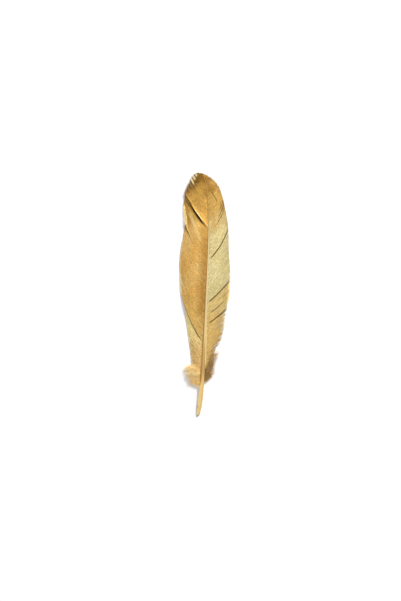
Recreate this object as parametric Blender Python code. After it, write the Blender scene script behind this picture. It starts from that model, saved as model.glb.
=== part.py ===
"""A gold-painted goose wing feather that lies on a flat surface, smooth side up.

The feather grew as one piece, so it is one solid: a hollow-ended quill that runs on
as the tapering shaft, with a vane on each side made of locks of barbs, and loose
down at the foot of both vanes. The quill end is at low Y and the tip is at high Y.
Sizes below are in millimetres, and MM turns them into metres.
"""

import math
import random
from collections import namedtuple

import bmesh
import bpy
from mathutils import Vector

MM = 0.001

# Whole feather
LENGTH = 175.0
VANE_THICKNESS = 0.5
DOWN_THICKNESS = 0.6

# Shaft: each pair is (distance from the quill end, value there)
SHAFT_OFFSET = [(0, -5.0), (15, -3.0), (29, -1.95), (47, -1.1), (90, 0.95), (112, 1.9),
                (137, 2.5), (155, 2.0), (166, 0.7), (LENGTH, -1.8)]
SHAFT_LIFT = [(0, 0.3), (5, 0.0), (12, 0.4), (32, 2.0), (60, 3.7), (95, 4.6), (130, 4.0),
              (155, 2.5), (LENGTH, 0.8)]
SHAFT_WIDTH = [(0, 1.9), (3, 2.6), (8, 3.15), (30, 3.1), (42, 2.8), (60, 2.2), (90, 1.8),
               (118, 1.2), (140, 0.8), (LENGTH, 0.5)]
SHAFT_DEPTH = [(0, 1.9), (3, 2.6), (8, 3.1), (42, 3.0), (60, 2.7), (90, 2.3), (118, 1.8),
               (140, 1.35), (LENGTH, 0.7)]
SHAFT_SIDES = 12
SHAFT_STEP = 6.0
SHAFT_TIP = 173.6
GROOVE_START = 40.0
GROOVE_DEPTH = 0.3
PIT_DEPTH = 2.6
PIT_SHARE = 0.5

# Where a vane leaves the shaft, below the top of the shaft
RIDGE_BASE = 0.1
RIDGE_SHARE = 0.22
ROOT_PAST_CENTRE = 0.2

# Run of a barb from shaft to margin, as shares of its length
BARB_ROWS = [0.0, 0.06, 0.17, 0.3, 0.45, 0.6, 0.75, 0.88, 1.0]
FLAT_FROM = 0.84
SLOPE_POWER = 1.5
BARB_BOW = 0.11
LOCK_CROWN = 0.16
SPLIT_SPREAD = 0.12
GAP_SPREAD = (0.45, 1.15)

# One web: a run of locks that lie edge to edge. Each margin list holds (root on the
# shaft, how far to the side, how far along) for the barbs' outer ends. Drop is how far
# the roots lie below the ridge, and lift how far the barbs rise away from it. Spans are
# (roots where a group of locks starts and ends, number of locks), and deep splits give
# the share of a barb at which the web parts at that root.
Web = namedtuple("Web", "side margin drop lift edge_height spans split deep gap notch bow uneven seed")

RIGHT_VANE = Web(
    side=1,
    margin=[(33, 3.4, 36.0), (38, 6.6, 43.0), (43.6, 8.8, 49.6), (45, 10.8, 52.0),
            (52, 13.6, 60.5), (64.4, 16.3, 77.5), (71, 17.9, 86.5), (80, 18.6, 98.5),
            (95, 17.5, 118.0), (110.5, 16.9, 135.5), (125, 14.6, 148.0), (139, 12.3, 157.4),
            (151, 9.3, 164.6), (161, 6.1, 168.9), (168, 2.6, 171.9), (173, -2.2, 174.5)],
    drop=0.08,
    lift=[(33, 0.2), (64, 0.0), (140, 0.0), (173, 0.5)],
    edge_height=[(33, 1.2), (56, 0.0), (128, 0.0), (150, 0.5), (173, 0.7)],
    spans=[(33, 44.2, 2), (44.2, 64.4, 4), (64.4, 71, 1), (71, 80, 2), (80, 110.5, 5), (110.5, 139, 5),
           (139, 161, 4), (161, 173, 3)],
    split=0.75,
    deep={44.2: 0.45, 64.4: 0.06, 71: 0.45, 80: 0.06, 110.5: 0.06},
    gap=1.1,
    notch=0.03,
    bow=BARB_BOW,
    uneven=0.0,
    seed=3,
)

LEFT_MAIN = Web(
    side=-1,
    margin=[(51, -17.8, 91.0), (62, -18.2, 98.5), (75, -18.7, 109.0), (90, -17.9, 120.5),
            (102, -16.2, 129.5), (110, -14.6, 139.5)],
    drop=0.0,
    lift=[(51, 1.5), (58, 0.2), (64, 0.0), (110, 0.0)],
    edge_height=[(51, 0.0), (110, 0.0)],
    spans=[(51, 62, 2), (62, 90, 4), (90, 110, 4)],
    split=0.75,
    deep={},
    gap=0.9,
    notch=0.02,
    bow=BARB_BOW,
    uneven=0.0,
    seed=5,
)

LEFT_MIDDLE = Web(
    side=-1,
    margin=[(110.6, -14.4, 136.5), (116, -15.3, 146.0), (124, -15.9, 152.5), (132.2, -14.4, 162.0)],
    drop=0.03,
    lift=[(110.6, 1.3), (118, 0.5), (126, 0.0), (132.2, 0.0)],
    edge_height=[(110.6, 0.2), (132.2, 0.2)],
    spans=[(110.6, 132.2, 4)],
    split=0.6,
    deep={},
    gap=1.2,
    notch=0.04,
    bow=BARB_BOW,
    uneven=0.0,
    seed=7,
)

LEFT_TIP = Web(
    side=-1,
    margin=[(132.8, -15.9, 159.6), (142, -13.6, 165.5), (152, -11.2, 170.3), (160, -9.4, 173.0),
            (167, -7.3, 174.6), (172.5, -4.2, LENGTH)],
    drop=0.0,
    lift=[(132.8, 2.1), (142, 1.2), (155, 0.7), (172.5, 0.5)],
    edge_height=[(132.8, 0.8), (150, 0.4), (172.5, 0.7)],
    spans=[(132.8, 152, 4), (152, 172.5, 5)],
    split=0.6,
    deep={},
    gap=1.3,
    notch=0.05,
    bow=BARB_BOW,
    uneven=0.0,
    seed=11,
)

LEFT_LOWER = Web(
    side=-1,
    margin=[(31, -9.2, 34.0), (35, -10.6, 42.5), (41, -12.1, 56.0), (46, -14.1, 72.0),
            (50.4, -15.0, 86.5)],
    drop=0.05,
    lift=[(31, 0.0), (50.4, 0.0)],
    edge_height=[(31, 0.3), (38, 0.0), (50.4, 0.0)],
    spans=[(31, 50.4, 4)],
    split=0.6,
    deep={},
    gap=1.0,
    notch=0.04,
    bow=BARB_BOW,
    uneven=0.0,
    seed=13,
)

LEFT_DOWN = Web(
    side=-1,
    margin=[(19, -6.6, 19.5), (21.5, -11.4, 16.2), (24, -15.4, 18.6), (26.5, -18.0, 23.0),
            (29, -18.6, 29.0), (32, -17.4, 35.0)],
    drop=0.9,
    lift=[(19, 0.5), (25, 1.6), (32, 0.7)],
    edge_height=[(19, 0.5), (25, 0.9), (32, 0.6)],
    spans=[(19, 32, 9)],
    split=0.0,
    deep={},
    gap=0.5,
    notch=0.1,
    bow=-0.12,
    uneven=0.2,
    seed=17,
)

RIGHT_DOWN = Web(
    side=1,
    margin=[(21, 2.6, 22.5), (26, 6.4, 26.4), (31, 9.6, 31.5), (36, 11.2, 38.0), (43, 12.0, 46.5)],
    drop=1.1,
    lift=[(21, 0.3), (32, 1.0), (43, 0.1)],
    edge_height=[(21, 0.5), (32, 0.7), (43, 0.3)],
    spans=[(21, 43, 9)],
    split=0.0,
    deep={},
    gap=0.8,
    notch=0.1,
    bow=0.1,
    uneven=0.3,
    seed=19,
)

VANE_WEBS = {
    "right_vane": RIGHT_VANE,
    "left_main_web": LEFT_MAIN,
    "left_middle_web": LEFT_MIDDLE,
    "left_tip_web": LEFT_TIP,
    "left_lower_web": LEFT_LOWER,
}
DOWN_TUFTS = {
    "left_down": LEFT_DOWN,
    "right_down": RIGHT_DOWN,
}

# Gold paint
GOLD = (0.67, 0.41, 0.13, 1.0)
GOLD_METALLIC = 0.65
GOLD_ROUGHNESS = 0.42


def rise(points, index):
    """Slope of the straight line from one point to the next."""
    run = points[index + 1][0] - points[index][0]
    return (points[index + 1][1] - points[index][1]) / run


def slope_at(points, index):
    """Slope of the smooth curve at a point, level at a peak so that it never overshoots."""
    if index == 0:
        return rise(points, 0)
    if index == len(points) - 1:
        return rise(points, index - 1)
    before = rise(points, index - 1)
    after = rise(points, index)
    if before * after <= 0.0:
        return 0.0
    return 2.0 * before * after / (before + after)


def along_curve(points, place):
    """Value at a place of the smooth curve through (place, value) points."""
    if place <= points[0][0]:
        return points[0][1]
    if place >= points[-1][0]:
        return points[-1][1]
    index = 0
    while points[index + 1][0] < place:
        index += 1
    run = points[index + 1][0] - points[index][0]
    share = (place - points[index][0]) / run
    low = points[index][1]
    high = points[index + 1][1]
    low_slope = slope_at(points, index) * run
    high_slope = slope_at(points, index + 1) * run
    square = share * share
    cube = square * share
    value = (2.0 * cube - 3.0 * square + 1.0) * low
    value += (cube - 2.0 * square + share) * low_slope
    value += (3.0 * square - 2.0 * cube) * high
    value += (cube - square) * high_slope
    return value


def ease(share):
    """Smooth step from 0 to 1."""
    share = min(1.0, max(0.0, share))
    return share * share * (3.0 - 2.0 * share)


def placed(across, along, height):
    """Point in metres, with the feather's middle over the origin."""
    return Vector((across, along - LENGTH / 2.0, height)) * MM


def shaft_ring(along, width, depth, groove):
    """Points round the shaft at one place, with a groove in its underside."""
    centre = along_curve(SHAFT_OFFSET, along)
    middle = along_curve(SHAFT_LIFT, along) + along_curve(SHAFT_DEPTH, along) / 2.0
    points = []
    for side in range(SHAFT_SIDES):
        angle = 2.0 * math.pi * side / SHAFT_SIDES - math.pi / 2.0
        height = middle + depth / 2.0 * math.sin(angle)
        if side == 0:
            height += groove
        points.append(placed(centre + width / 2.0 * math.cos(angle), along, height))
    return points


def shaft_places():
    """Places along the shaft, close together where it starts and evenly spaced after that."""
    places = [0.0, 1.2, 3.0, 5.0, 8.0]
    steps = math.ceil((SHAFT_TIP - places[-1]) / SHAFT_STEP)
    start = places[-1]
    for step in range(1, steps + 1):
        places.append(start + (SHAFT_TIP - start) * step / steps)
    return places


def add_loft(mesh, rings):
    """Skin a row of rings and close both ends."""
    loops = [[mesh.verts.new(point) for point in ring] for ring in rings]
    count = len(loops[0])
    for near, far in zip(loops, loops[1:]):
        for index in range(count):
            after = (index + 1) % count
            mesh.faces.new((near[index], near[after], far[after], far[index]))
    mesh.faces.new(list(reversed(loops[0])))
    mesh.faces.new(loops[-1])


def build_shaft():
    """Quill and shaft in one, with the open pit in the quill's end."""
    pit_width = along_curve(SHAFT_WIDTH, 0.0) * PIT_SHARE
    rings = [
        shaft_ring(PIT_DEPTH, pit_width * 0.6, pit_width * 0.6, 0.0),
        shaft_ring(0.0, pit_width, pit_width, 0.0),
    ]
    for along in shaft_places():
        width = along_curve(SHAFT_WIDTH, along)
        depth = along_curve(SHAFT_DEPTH, along)
        groove = GROOVE_DEPTH * ease((along - GROOVE_START) / 20.0) * depth / 2.0
        rings.append(shaft_ring(along, width, depth, groove))
    mesh = bmesh.new()
    add_loft(mesh, rings)
    bmesh.ops.recalc_face_normals(mesh, faces=mesh.faces)
    return mesh


def root_point(web, root):
    """Where a barb's underside starts, inside the shaft."""
    across = along_curve(SHAFT_OFFSET, root) - web.side * ROOT_PAST_CENTRE
    top = along_curve(SHAFT_LIFT, root) + along_curve(SHAFT_DEPTH, root)
    ridge = RIDGE_BASE + RIDGE_SHARE * along_curve(SHAFT_WIDTH, root)
    return across, root, top - ridge - VANE_THICKNESS - web.drop


def barb_point(web, root, reach, raised):
    """Point of a web's underside, at a share of the way out along the barb from a root."""
    across, along, height = root_point(web, root)
    start = Vector((across, along))
    sideways = [(row[0], row[1]) for row in web.margin]
    onward = [(row[0], row[2]) for row in web.margin]
    end = Vector((along_curve(sideways, root), along_curve(onward, root)))
    chord = end - start
    outward = Vector((chord.y, -chord.x)) * web.side
    middle = (start + end) / 2.0 + outward * web.bow
    point = start * (1.0 - reach) ** 2 + middle * 2.0 * reach * (1.0 - reach) + end * reach ** 2
    edge = along_curve(web.edge_height, root)
    fall = min(1.0, reach / FLAT_FROM) ** SLOPE_POWER
    lift = along_curve(web.lift, root) * ease(reach / 0.3)
    crown = raised * ease(reach / 0.2) * (1.0 - ease((reach - 0.7) / 0.18))
    return placed(point.x, point.y, edge + (height - edge) * (1.0 - fall) + lift + crown)


def web_roots(web):
    """Roots at which one lock of a web ends and the next begins."""
    roots = [web.spans[0][0]]
    for low, high, count in web.spans:
        for index in range(1, count + 1):
            roots.append(low + (high - low) * index / count)
    return roots


def split_at(web, root, dice):
    """Last row that the locks on both sides of a root share, and how far each turns away."""
    share = web.split
    turn = web.gap / 2.0 * dice.uniform(*GAP_SPREAD)
    if share > 0.0:
        share += dice.uniform(-SPLIT_SPREAD, SPLIT_SPREAD)
    for deep_root, deep_share in web.deep.items():
        if abs(root - deep_root) < 0.01:
            share = deep_share
            turn = web.gap / 2.0
    row = sum(1 for reach in BARB_ROWS[1:] if reach <= share + 1e-6)
    return row, turn


def add_edge_column(mesh, web, root, turn, row, shared, length):
    """Points down one edge of a lock, turned away from its neighbour past the split."""
    parted = BARB_ROWS[row]
    column = []
    for index, reach in enumerate(BARB_ROWS):
        if shared and index <= row:
            column.append(shared[index])
            continue
        opening = 1.0
        if row > 0:
            opening = max(0.0, reach - parted) / (1.0 - parted)
        shift = turn * math.sqrt(opening)
        share = reach * length * (1.0 - web.notch * opening)
        column.append(mesh.verts.new(barb_point(web, root + shift, share, 0.0)))
    return column


def add_middle_column(mesh, web, root, length):
    """Points down the middle of a lock, where it is crowned."""
    points = [barb_point(web, root, reach * length, LOCK_CROWN) for reach in BARB_ROWS]
    return [mesh.verts.new(point) for point in points]


def add_strip(mesh, left, right):
    """Faces between two columns of points."""
    for index in range(len(left) - 1):
        mesh.faces.new((left[index], right[index], right[index + 1], left[index + 1]))


def build_web(web):
    """One web of locks as an open sheet that looks up, the underside of the vane."""
    mesh = bmesh.new()
    dice = random.Random(web.seed)
    roots = web_roots(web)
    shared = None
    row = 0
    turn = web.gap / 2.0
    for low, high in zip(roots, roots[1:]):
        length = 1.0 - web.uneven * dice.random()
        near = add_edge_column(mesh, web, low, turn, row, shared, length)
        middle = add_middle_column(mesh, web, (low + high) / 2.0, length)
        row, turn = split_at(web, high, dice)
        far = add_edge_column(mesh, web, high, -turn, row, None, length)
        add_strip(mesh, near, middle)
        add_strip(mesh, middle, far)
        shared = far
    if web.side > 0:
        bmesh.ops.reverse_faces(mesh, faces=mesh.faces)
    return mesh


def single_locks(web):
    """Each lock of a tuft of down as a web of its own."""
    roots = web_roots(web)
    locks = []
    for index, (low, high) in enumerate(zip(roots, roots[1:])):
        locks.append(web._replace(spans=[(low, high, 1)], seed=web.seed + index))
    return locks


def new_object(name, mesh):
    """Put a finished mesh in the scene as a named object."""
    data = bpy.data.meshes.new(name)
    mesh.to_mesh(data)
    mesh.free()
    item = bpy.data.objects.new(name, data)
    bpy.context.scene.collection.objects.link(item)
    return item


def cut_to_triangles(item):
    """Split every face into triangles, so that joins between faces stay exact."""
    item.modifiers.new("triangles", "TRIANGULATE")


def grow_together(body, other):
    """Make another shape part of a body's own solid."""
    other.hide_render = True
    other.display_type = "WIRE"
    joined = body.modifiers.new(other.name, "BOOLEAN")
    joined.operation = "UNION"
    joined.solver = "EXACT"
    joined.object = other
    cut_to_triangles(body)


def add_vane(feather, name, web, thickness):
    """Grow one web out of the shaft, thickened upwards so that its underside stays put."""
    vane = new_object(name, build_web(web))
    solid = vane.modifiers.new("thickness", "SOLIDIFY")
    solid.thickness = thickness * MM
    solid.offset = 1.0
    cut_to_triangles(vane)
    grow_together(feather, vane)


def gold_paint():
    """Metallic gold spray paint over horn and barbs."""
    paint = bpy.data.materials.new("gold_paint")
    paint.use_nodes = True
    shader = paint.node_tree.nodes["Principled BSDF"]
    shader.inputs["Base Color"].default_value = GOLD
    shader.inputs["Metallic"].default_value = GOLD_METALLIC
    shader.inputs["Roughness"].default_value = GOLD_ROUGHNESS
    return paint


def clear_scene():
    """Remove what the scene starts with."""
    for item in list(bpy.data.objects):
        bpy.data.objects.remove(item, do_unlink=True)


def main():
    """Build the feather."""
    clear_scene()
    feather = new_object("goose_feather", build_shaft())
    feather.data.materials.append(gold_paint())
    cut_to_triangles(feather)
    for name, web in VANE_WEBS.items():
        add_vane(feather, name, web, VANE_THICKNESS)
    for name, tuft in DOWN_TUFTS.items():
        for index, lock in enumerate(single_locks(tuft)):
            add_vane(feather, f"{name}_{index + 1}", lock, DOWN_THICKNESS)


main()
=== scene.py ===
"""Looks of one gold-painted goose wing feather that lies smooth side up on a pale floor.

Every barb of both vanes is its own ribbon of mesh, laid along the same curves as the
solid feather, and the down is made of curled hairs with finer hairs along them.
Sizes in the classes are in millimetres unless they say otherwise, and MM turns them
into the frame's metres. Places along the shaft are measured from the quill's end.
A share is a part of a whole, from 0 to 1.
"""

from __future__ import annotations

import logging
import math
from collections.abc import Callable
from dataclasses import dataclass, field
from enum import Enum
from random import Random

import bpy
import numpy as np
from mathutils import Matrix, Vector


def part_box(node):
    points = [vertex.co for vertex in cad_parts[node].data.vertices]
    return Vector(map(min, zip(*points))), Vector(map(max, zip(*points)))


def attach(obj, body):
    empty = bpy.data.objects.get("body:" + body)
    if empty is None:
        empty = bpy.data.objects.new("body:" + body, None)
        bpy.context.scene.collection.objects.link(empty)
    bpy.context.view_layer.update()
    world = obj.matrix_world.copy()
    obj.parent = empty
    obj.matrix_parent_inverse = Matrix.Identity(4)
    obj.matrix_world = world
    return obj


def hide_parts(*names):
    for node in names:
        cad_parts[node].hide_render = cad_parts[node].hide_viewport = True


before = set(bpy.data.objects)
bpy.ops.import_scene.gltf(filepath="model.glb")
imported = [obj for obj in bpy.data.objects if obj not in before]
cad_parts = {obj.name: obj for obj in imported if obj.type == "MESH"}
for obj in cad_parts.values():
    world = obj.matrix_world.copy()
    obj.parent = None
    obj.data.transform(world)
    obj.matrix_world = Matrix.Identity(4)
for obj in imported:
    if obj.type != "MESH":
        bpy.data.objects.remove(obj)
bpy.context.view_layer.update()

MM = 0.001
NODE = "goose_feather"
BODY = "root"
FLOOR_GAP = 0.02
CREASE_DEGREES = 50.0

Points = tuple[tuple[float, float], ...]
Range = tuple[float, float]
Span = tuple[float, float, float, float]
Colour = tuple[float, float, float, float]
Array = np.ndarray
Object = bpy.types.Object
Material = bpy.types.Material
Socket = bpy.types.NodeSocket
Value = Socket | float | tuple[float, ...]

log = logging.getLogger("feather")


class Side(Enum):
    """Which side of the shaft a vane grows on, seen from above with the tip away."""

    LEFT = -1
    RIGHT = 1


class Measure(Enum):
    """Where a band of colour is measured: on the feather itself, or at the barb's root."""

    ALONG = "along"
    ROOT = "root"


class Face(Enum):
    """How the faces of a piece are shaded."""

    SMOOTH = "smooth"
    CREASED = "creased"


@dataclass(frozen=True)
class Curve:
    """A smooth curve through a few (place, value) points that never overshoots them."""

    points: Points

    def at(self, place: Array | float) -> Array:
        """Read the curve.

        Args:
            place: where to read it, as one number or an array.

        Returns:
            The curve's values, in the shape of place.
        """
        places, values = np.array(self.points, float).T
        run = np.diff(places)
        rise = np.diff(values) / run
        before, after = rise[:-1], rise[1:]
        same = before * after > 0.0
        inner = np.zeros(len(before))
        inner[same] = 2.0 * before[same] * after[same] / (before[same] + after[same])
        slope = np.concatenate(([rise[0]], inner, [rise[-1]]))
        spot = np.clip(np.asarray(place, float), places[0], places[-1])
        index = np.clip(np.searchsorted(places, spot) - 1, 0, len(run) - 1)
        share = (spot - places[index]) / run[index]
        square, cube = share**2, share**3
        value = (2.0 * cube - 3.0 * square + 1.0) * values[index]
        value = value + (cube - 2.0 * square + share) * slope[index] * run[index]
        value = value + (3.0 * square - 2.0 * cube) * values[index + 1]
        return value + (cube - square) * slope[index + 1] * run[index]


@dataclass(frozen=True)
class Margin:
    """Where barbs end: a few roots, each with its end's places across and along."""

    ends: tuple[tuple[float, float, float], ...]

    def at(self, root: Array) -> tuple[Array, Array]:
        """Places across and along where barbs with these roots end."""
        roots, across, along = zip(*self.ends)
        return Curve(tuple(zip(roots, across))).at(root), Curve(tuple(zip(roots, along))).at(root)


def flat(value: float = 0.0) -> Curve:
    """A curve that has one value everywhere."""
    return Curve(((0.0, value), (1.0, value)))


def ease(value: Array | float, low: float = 0.0, high: float = 1.0) -> Array:
    """Smooth step from 0 at low to 1 at high, which may be the smaller one."""
    share = np.clip((value - low) / (high - low), 0.0, 1.0)
    return share * share * (3.0 - 2.0 * share)


def near_line(away: Array, width: float) -> Array:
    """Values that fall from 1 on a line to 0 a little past a width from it."""
    return np.exp(-(np.abs(away / width) ** 3))


def rolls(count: int, roll: Callable[[], float]) -> Array:
    """A column of random values, one for each of count barbs or locks."""
    return np.array([[roll()] for _ in range(count)])


def waves(
    place: Array, dice: Random, count: int, longest: float, shrink: float = 1.9, fade: float = 0.7
) -> Array:
    """Smooth uneven noise along a line.

    Args:
        place: where to read it.
        dice: seeded source of the waves' phases.
        count: how many waves are added.
        longest: length of the longest wave.
        shrink: how many times shorter each wave is than the one before.
        fade: how many times as high.

    Returns:
        Values between -1 and 1.
    """
    total = np.zeros_like(np.asarray(place, float))
    weight = 0.0
    for step in range(count):
        phase = dice.uniform(0.0, 2.0 * math.pi)
        height = fade**step
        total = total + height * np.sin(2.0 * math.pi * place * shrink**step / longest + phase)
        weight += height
    return total / weight


def feather_foot() -> Vector:
    """Place in metres of the point under the quill's end on the feather's own axis."""
    low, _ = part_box(NODE)
    return Vector((0.0, low.y, low.z))


@dataclass
class Skin:
    """Gathers vertices, faces and per-vertex values, and makes one mesh object of them."""

    corners: list[Array] = field(default_factory=list)
    faces: list[Array] = field(default_factory=list)
    values: dict[str, list[Array]] = field(default_factory=dict)
    count: int = 0

    def add_tubes(self, rings: Array, **values: Array) -> None:
        """Add closed tubes that all have the same number of rings and sides.

        Args:
            rings: corner places, shaped (tubes, rings, sides, 3).
            values: what the paint reads at each vertex, shaped so that it spreads to
                (tubes, rings) or to (tubes, rings, sides).
        """
        tubes, length, sides, _ = rings.shape
        index = np.arange(tubes * length * sides).reshape(tubes, length, sides) + self.count
        near, far = index[:, :-1], index[:, 1:]
        walls = np.stack((near, np.roll(near, -1, axis=2), np.roll(far, -1, axis=2), far), axis=-1)
        self.faces += [walls.reshape(-1, 4), index[:, 0, ::-1], index[:, -1]]
        self.corners.append(rings.reshape(-1, 3))
        for label, value in values.items():
            if value.ndim < 3:
                value = np.broadcast_to(value, (tubes, length))[..., None]
            spread = np.broadcast_to(value, (tubes, length, sides))
            self.values.setdefault(label, []).append(spread.reshape(-1))
        self.count += tubes * length * sides

    def make(self, name: str, face: Face) -> Object:
        """Make the mesh object.

        Args:
            name: the piece's name.
            face: how its faces are shaded.

        Returns:
            The new object, in the scene and with its place in its mesh.
        """
        corners = np.concatenate(self.corners) * MM + np.array(feather_foot())
        data = bpy.data.meshes.new(name)
        faces = [row for block in self.faces for row in block.tolist()]
        data.from_pydata(corners.tolist(), [], faces)
        for label, blocks in self.values.items():
            layer = data.attributes.new(label, "FLOAT", "POINT")
            layer.data.foreach_set("value", np.concatenate(blocks).astype(np.float32))
        data.shade_smooth()
        if face is Face.CREASED:
            data.set_sharp_from_angle(angle=math.radians(CREASE_DEGREES))
        data.update()
        item = bpy.data.objects.new(name, data)
        bpy.context.scene.collection.objects.link(item)
        return item


@dataclass(frozen=True)
class Cloud:
    """Cloudy noise in a paint.

    Scale is in clouds a metre and detail in layers. Span is (low, high, start, end): the
    noise between low and high is turned into start to end.
    """

    scale: float
    span: Span = (0.0, 1.0, 0.0, 1.0)
    detail: float = 3.0


class NodeSheet:
    """A material's node tree, with short ways to add and join nodes."""

    def __init__(self, name: str) -> None:
        """Start a new material with only its output and Principled shader.

        Args:
            name: the material's name.
        """
        self.material = bpy.data.materials.new(name)
        self.material.use_nodes = True
        self.tree = self.material.node_tree
        self.shader = self.tree.nodes["Principled BSDF"]

    def feed(self, source: Value, target: Socket) -> None:
        """Join an output to an input, or set the input's value.

        Args:
            source: the output or the value.
            target: the input.
        """
        if isinstance(source, Socket):
            self.tree.links.new(source, target)
        else:
            target.default_value = source

    def node(
        self, kind: str, inputs: dict[str | int, Value], output: str | int = 0, **settings: str
    ) -> Socket:
        """Add a node.

        Args:
            kind: the node's type.
            inputs: what its inputs are joined to or set to.
            output: which of its outputs is wanted.
            settings: its own settings.

        Returns:
            The output.
        """
        node = self.tree.nodes.new(kind)
        for key, value in settings.items():
            setattr(node, key, value)
        for key, value in inputs.items():
            self.feed(value, node.inputs[key])
        return node.outputs[output]

    def attribute(self, name: str) -> Socket:
        """A per-vertex value of the mesh."""
        return self.node("ShaderNodeAttribute", {}, "Fac", attribute_name=name)

    def place(self) -> Socket:
        """Place on the feather in metres."""
        return self.node("ShaderNodeTexCoord", {}, "Object")

    def along(self) -> Socket:
        """Place along the feather in metres, from the middle towards the tip."""
        return self.node("ShaderNodeSeparateXYZ", {0: self.place()}, "Y")

    def noise(self, where: Socket, cloud: Cloud) -> Socket:
        """Cloudy noise between 0 and 1 at a place, before it is turned into its span."""
        inputs = {"Vector": where, "Scale": cloud.scale, "Detail": cloud.detail}
        return self.node("ShaderNodeTexNoise", inputs, "Fac")

    def level(self, where: Socket, cloud: Cloud) -> Socket:
        """Cloudy noise at a place, turned into its span."""
        return self.ramp(self.noise(where, cloud), *cloud.span)

    def ramp(
        self, source: Socket, low: float, high: float, start: float = 0.0, end: float = 1.0
    ) -> Socket:
        """Turn a value's range from low to high into start to end, smoothly."""
        feeds = {"Value": source, "From Min": low, "From Max": high, "To Min": start, "To Max": end}
        return self.node("ShaderNodeMapRange", feeds, "Result", interpolation_type="SMOOTHSTEP")

    def math(self, kind: str, first: Value, second: Value) -> Socket:
        """Two values joined by the operation of that name."""
        return self.node("ShaderNodeMath", {0: first, 1: second}, operation=kind)

    def times(self, first: Value, second: Value) -> Socket:
        """The product of two values."""
        return self.math("MULTIPLY", first, second)

    def mix(self, share: Value, first: Value, second: Value, kind: str = "MIX") -> Socket:
        """A share of the second colour over the first, by the blend of that name."""
        inputs = {"Factor": share, "A": first, "B": second}
        return self.node("ShaderNodeMix", inputs, "Result", data_type="RGBA", blend_type=kind)

    def shade(self, colour: Value, level: Socket) -> Socket:
        """A colour made lighter or darker by a level around 1."""
        grey = self.node("ShaderNodeCombineColor", {"Red": level, "Green": level, "Blue": level})
        return self.mix(1.0, colour, grey, "MULTIPLY")

    def strand_place(self, across: float, along: float) -> Socket:
        """A place that runs on from barb to barb and along them, each at its own rate."""
        strand, reach = self.attribute("strand"), self.attribute("reach")
        inputs = {"X": self.times(strand, across), "Y": self.times(reach, along)}
        return self.node("ShaderNodeCombineXYZ", inputs)

    def bump(self, height: Socket, strength: float, distance: float) -> None:
        """Give the surface a fine relief. Distance is its height in metres."""
        inputs = {"Height": height, "Strength": strength, "Distance": distance}
        self.feed(self.node("ShaderNodeBump", inputs), self.shader.inputs["Normal"])

    def finish(self, colour: Value, rough: Value, plain: dict[str, float]) -> Material:
        """Join the colour and roughness to the shader.

        Args:
            colour: the paint's colour.
            rough: its roughness.
            plain: the shader's other inputs, each the same all over.

        Returns:
            The finished material.
        """
        for label, value in {"Base Color": colour, "Roughness": rough, **plain}.items():
            self.feed(value, self.shader.inputs[label])
        return self.material


@dataclass(frozen=True)
class Band:
    """A colour that takes over between two places along the feather.

    Places are in metres from the feather's middle, or in millimetres from the quill's end
    if they are measured at the barb's root.
    """

    colour: Colour
    start: float
    end: float
    measure: Measure = Measure.ALONG


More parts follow.
